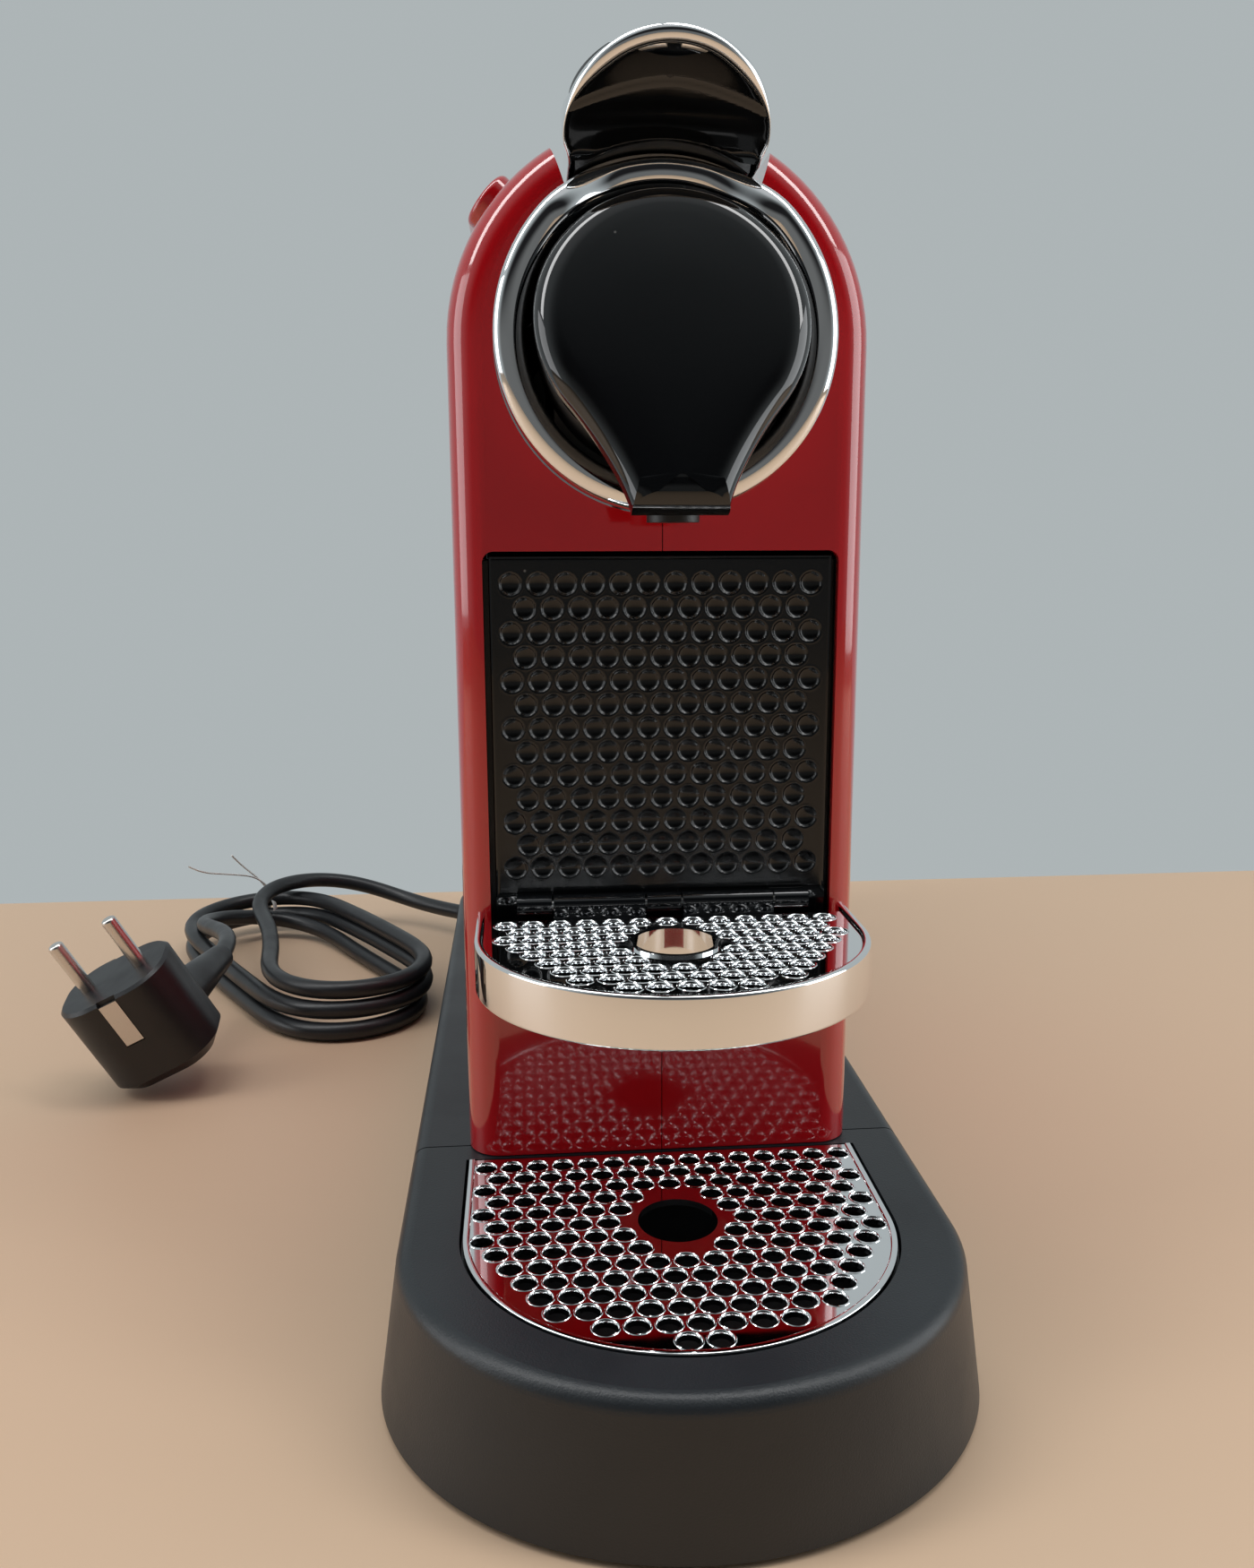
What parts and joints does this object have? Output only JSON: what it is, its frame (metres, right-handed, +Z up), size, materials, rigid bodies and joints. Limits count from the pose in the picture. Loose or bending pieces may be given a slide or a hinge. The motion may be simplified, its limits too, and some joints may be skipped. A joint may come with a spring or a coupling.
{
  "type": "pod coffee machine",
  "caption": "Pod coffee machine: arched red body on a charcoal base, lever brew head, folding cup shelf over a drip tray, rear water tank and coiled mains lead.",
  "frame": {"origin": "bottom centre of the machine without its mains lead, on the surface it stands on", "axes": "+X to the machine's right seen from the front, -Y towards the front (cup side), +Z up"},
  "size_m": [0.2506, 0.4051, 0.2776],
  "materials": {
    "gloss_red": "high-gloss deep red moulded plastic",
    "chrome": "mirror chrome plating on plastic",
    "gloss_black": "piano-black gloss plastic",
    "satin_charcoal": "satin charcoal plastic with a fine texture",
    "matte_black": "matt black plastic",
    "steel": "brushed stainless steel",
    "tank_clear": "clear smoky plastic",
    "rubber_black": "soft black rubber",
    "cord_black": "satin black PVC sheath",
    "board_green": "printed circuit board",
    "boiler_alloy": "cast aluminium",
    "grey_plastic": "grey engineering plastic",
    "plated_pin": "nickel-plated brass",
    "tie_white": "thin white plastic-coated wire"
  },
  "bodies": {
    "machine": {"base_cover": "satin_charcoal", "base_plate": "matte_black", "base_feet": "rubber_black", "case_screws": "steel", "left_shell": "gloss_red", "right_shell": "gloss_red", "rear_panel": "matte_black", "head_ring": "chrome", "ring_brow": "chrome", "outlet_cover": "gloss_black", "outlet_housing": "matte_black", "coffee_nozzle": "matte_black", "brew_frame": "grey_plastic", "needle_plate": "steel", "pivot_pins": "steel", "slot_frame": "gloss_black", "button_pad": "gloss_red", "button_board": "board_green", "container_bay": "matte_black", "boiler": "boiler_alloy", "thermostats": "steel", "pump": "grey_plastic", "pump_mounts": "rubber_black", "flow_meter": "grey_plastic", "tank_dock": "matte_black", "inlet_hose": "tank_clear", "pressure_hose": "grey_plastic", "control_board": "board_green", "cord_gland": "cord_black", "cord_lead": "cord_black", "cord_tail": "cord_black", "cord_coil": "cord_black", "cord_tie": "tie_white", "plug_body": "cord_black", "plug_pins": "plated_pin", "plug_clips": "plated_pin", "plug_relief": "cord_black"},
    "lever": {"lever_handle": "chrome", "lever_underside": "gloss_black", "lever_frame": "matte_black", "drive_pins": "steel"},
    "piston": {"brew_piston": "grey_plastic", "piercing_blades": "steel"},
    "espresso": {"espresso_button": "gloss_red"},
    "lungo": {"lungo_button": "gloss_red"},
    "container": {"container_front": "gloss_black", "capsule_container": "matte_black", "shelf_pin": "steel"},
    "cup_shelf": {"shelf_band": "chrome", "shelf_tray": "gloss_black", "shelf_grid": "chrome", "shelf_grommet": "chrome"},
    "drip_base": {"drip_base": "satin_charcoal", "drip_feet": "rubber_black"},
    "drip_tray": {"drip_tray": "matte_black"},
    "drip_grid": {"drip_grid": "chrome"},
    "tank": {"water_tank": "tank_clear", "tank_valve": "grey_plastic", "tank_bridge": "matte_black"},
    "tank_lid": {"tank_lid": "matte_black"}
  },
  "joints": [
    {"name": "lever_hinge", "type": "hinge", "parent": "machine", "child": "lever", "pos_m": [0, -0.022, 0.22], "axis": [-1, 0, 0], "range_deg": [0, 70]},
    {"name": "piston_slide", "type": "slide", "parent": "machine", "child": "piston", "axis": [0, 1, 0], "range_m": [0, 0.03]},
    {"name": "espresso_press", "type": "slide", "parent": "machine", "child": "espresso", "axis": [0.7604, 0, -0.6494], "range_m": [0, 0.0015], "stiffness_N_per_m": 1200, "springref_m": -0.0005},
    {"name": "lungo_press", "type": "slide", "parent": "machine", "child": "lungo", "axis": [0.7604, 0, -0.6494], "range_m": [0, 0.0015], "stiffness_N_per_m": 1200, "springref_m": -0.0005},
    {"name": "container_slide", "type": "slide", "parent": "machine", "child": "container", "axis": [0, -1, 0], "range_m": [0, 0.115]},
    {"name": "shelf_fold", "type": "hinge", "parent": "container", "child": "cup_shelf", "pos_m": [0, -0.0962, 0.097], "axis": [-1, 0, 0], "range_deg": [0, 88]},
    {"name": "drip_base_slide", "type": "slide", "parent": "machine", "child": "drip_base", "axis": [0, -1, 0], "range_m": [0, 0.1]},
    {"name": "drip_tray_lift", "type": "slide", "parent": "drip_base", "child": "drip_tray", "axis": [0, 0, 1], "range_m": [0, 0.03]},
    {"name": "drip_grid_lift", "type": "slide", "parent": "drip_tray", "child": "drip_grid", "axis": [0, 0, 1], "range_m": [0, 0.015]},
    {"name": "tank_lift", "type": "slide", "parent": "machine", "child": "tank", "axis": [0, 0, 1], "range_m": [0, 0.12]},
    {"name": "tank_lid_hinge", "type": "hinge", "parent": "tank", "child": "tank_lid", "pos_m": [0, 0.1042, 0.232], "axis": [1, 0, 0], "range_deg": [0, 85]}
  ],
  "couplings": [
    {"joint": "piston_slide", "follows": "lever_hinge", "m_per_rad": 0.024498}
  ]
}
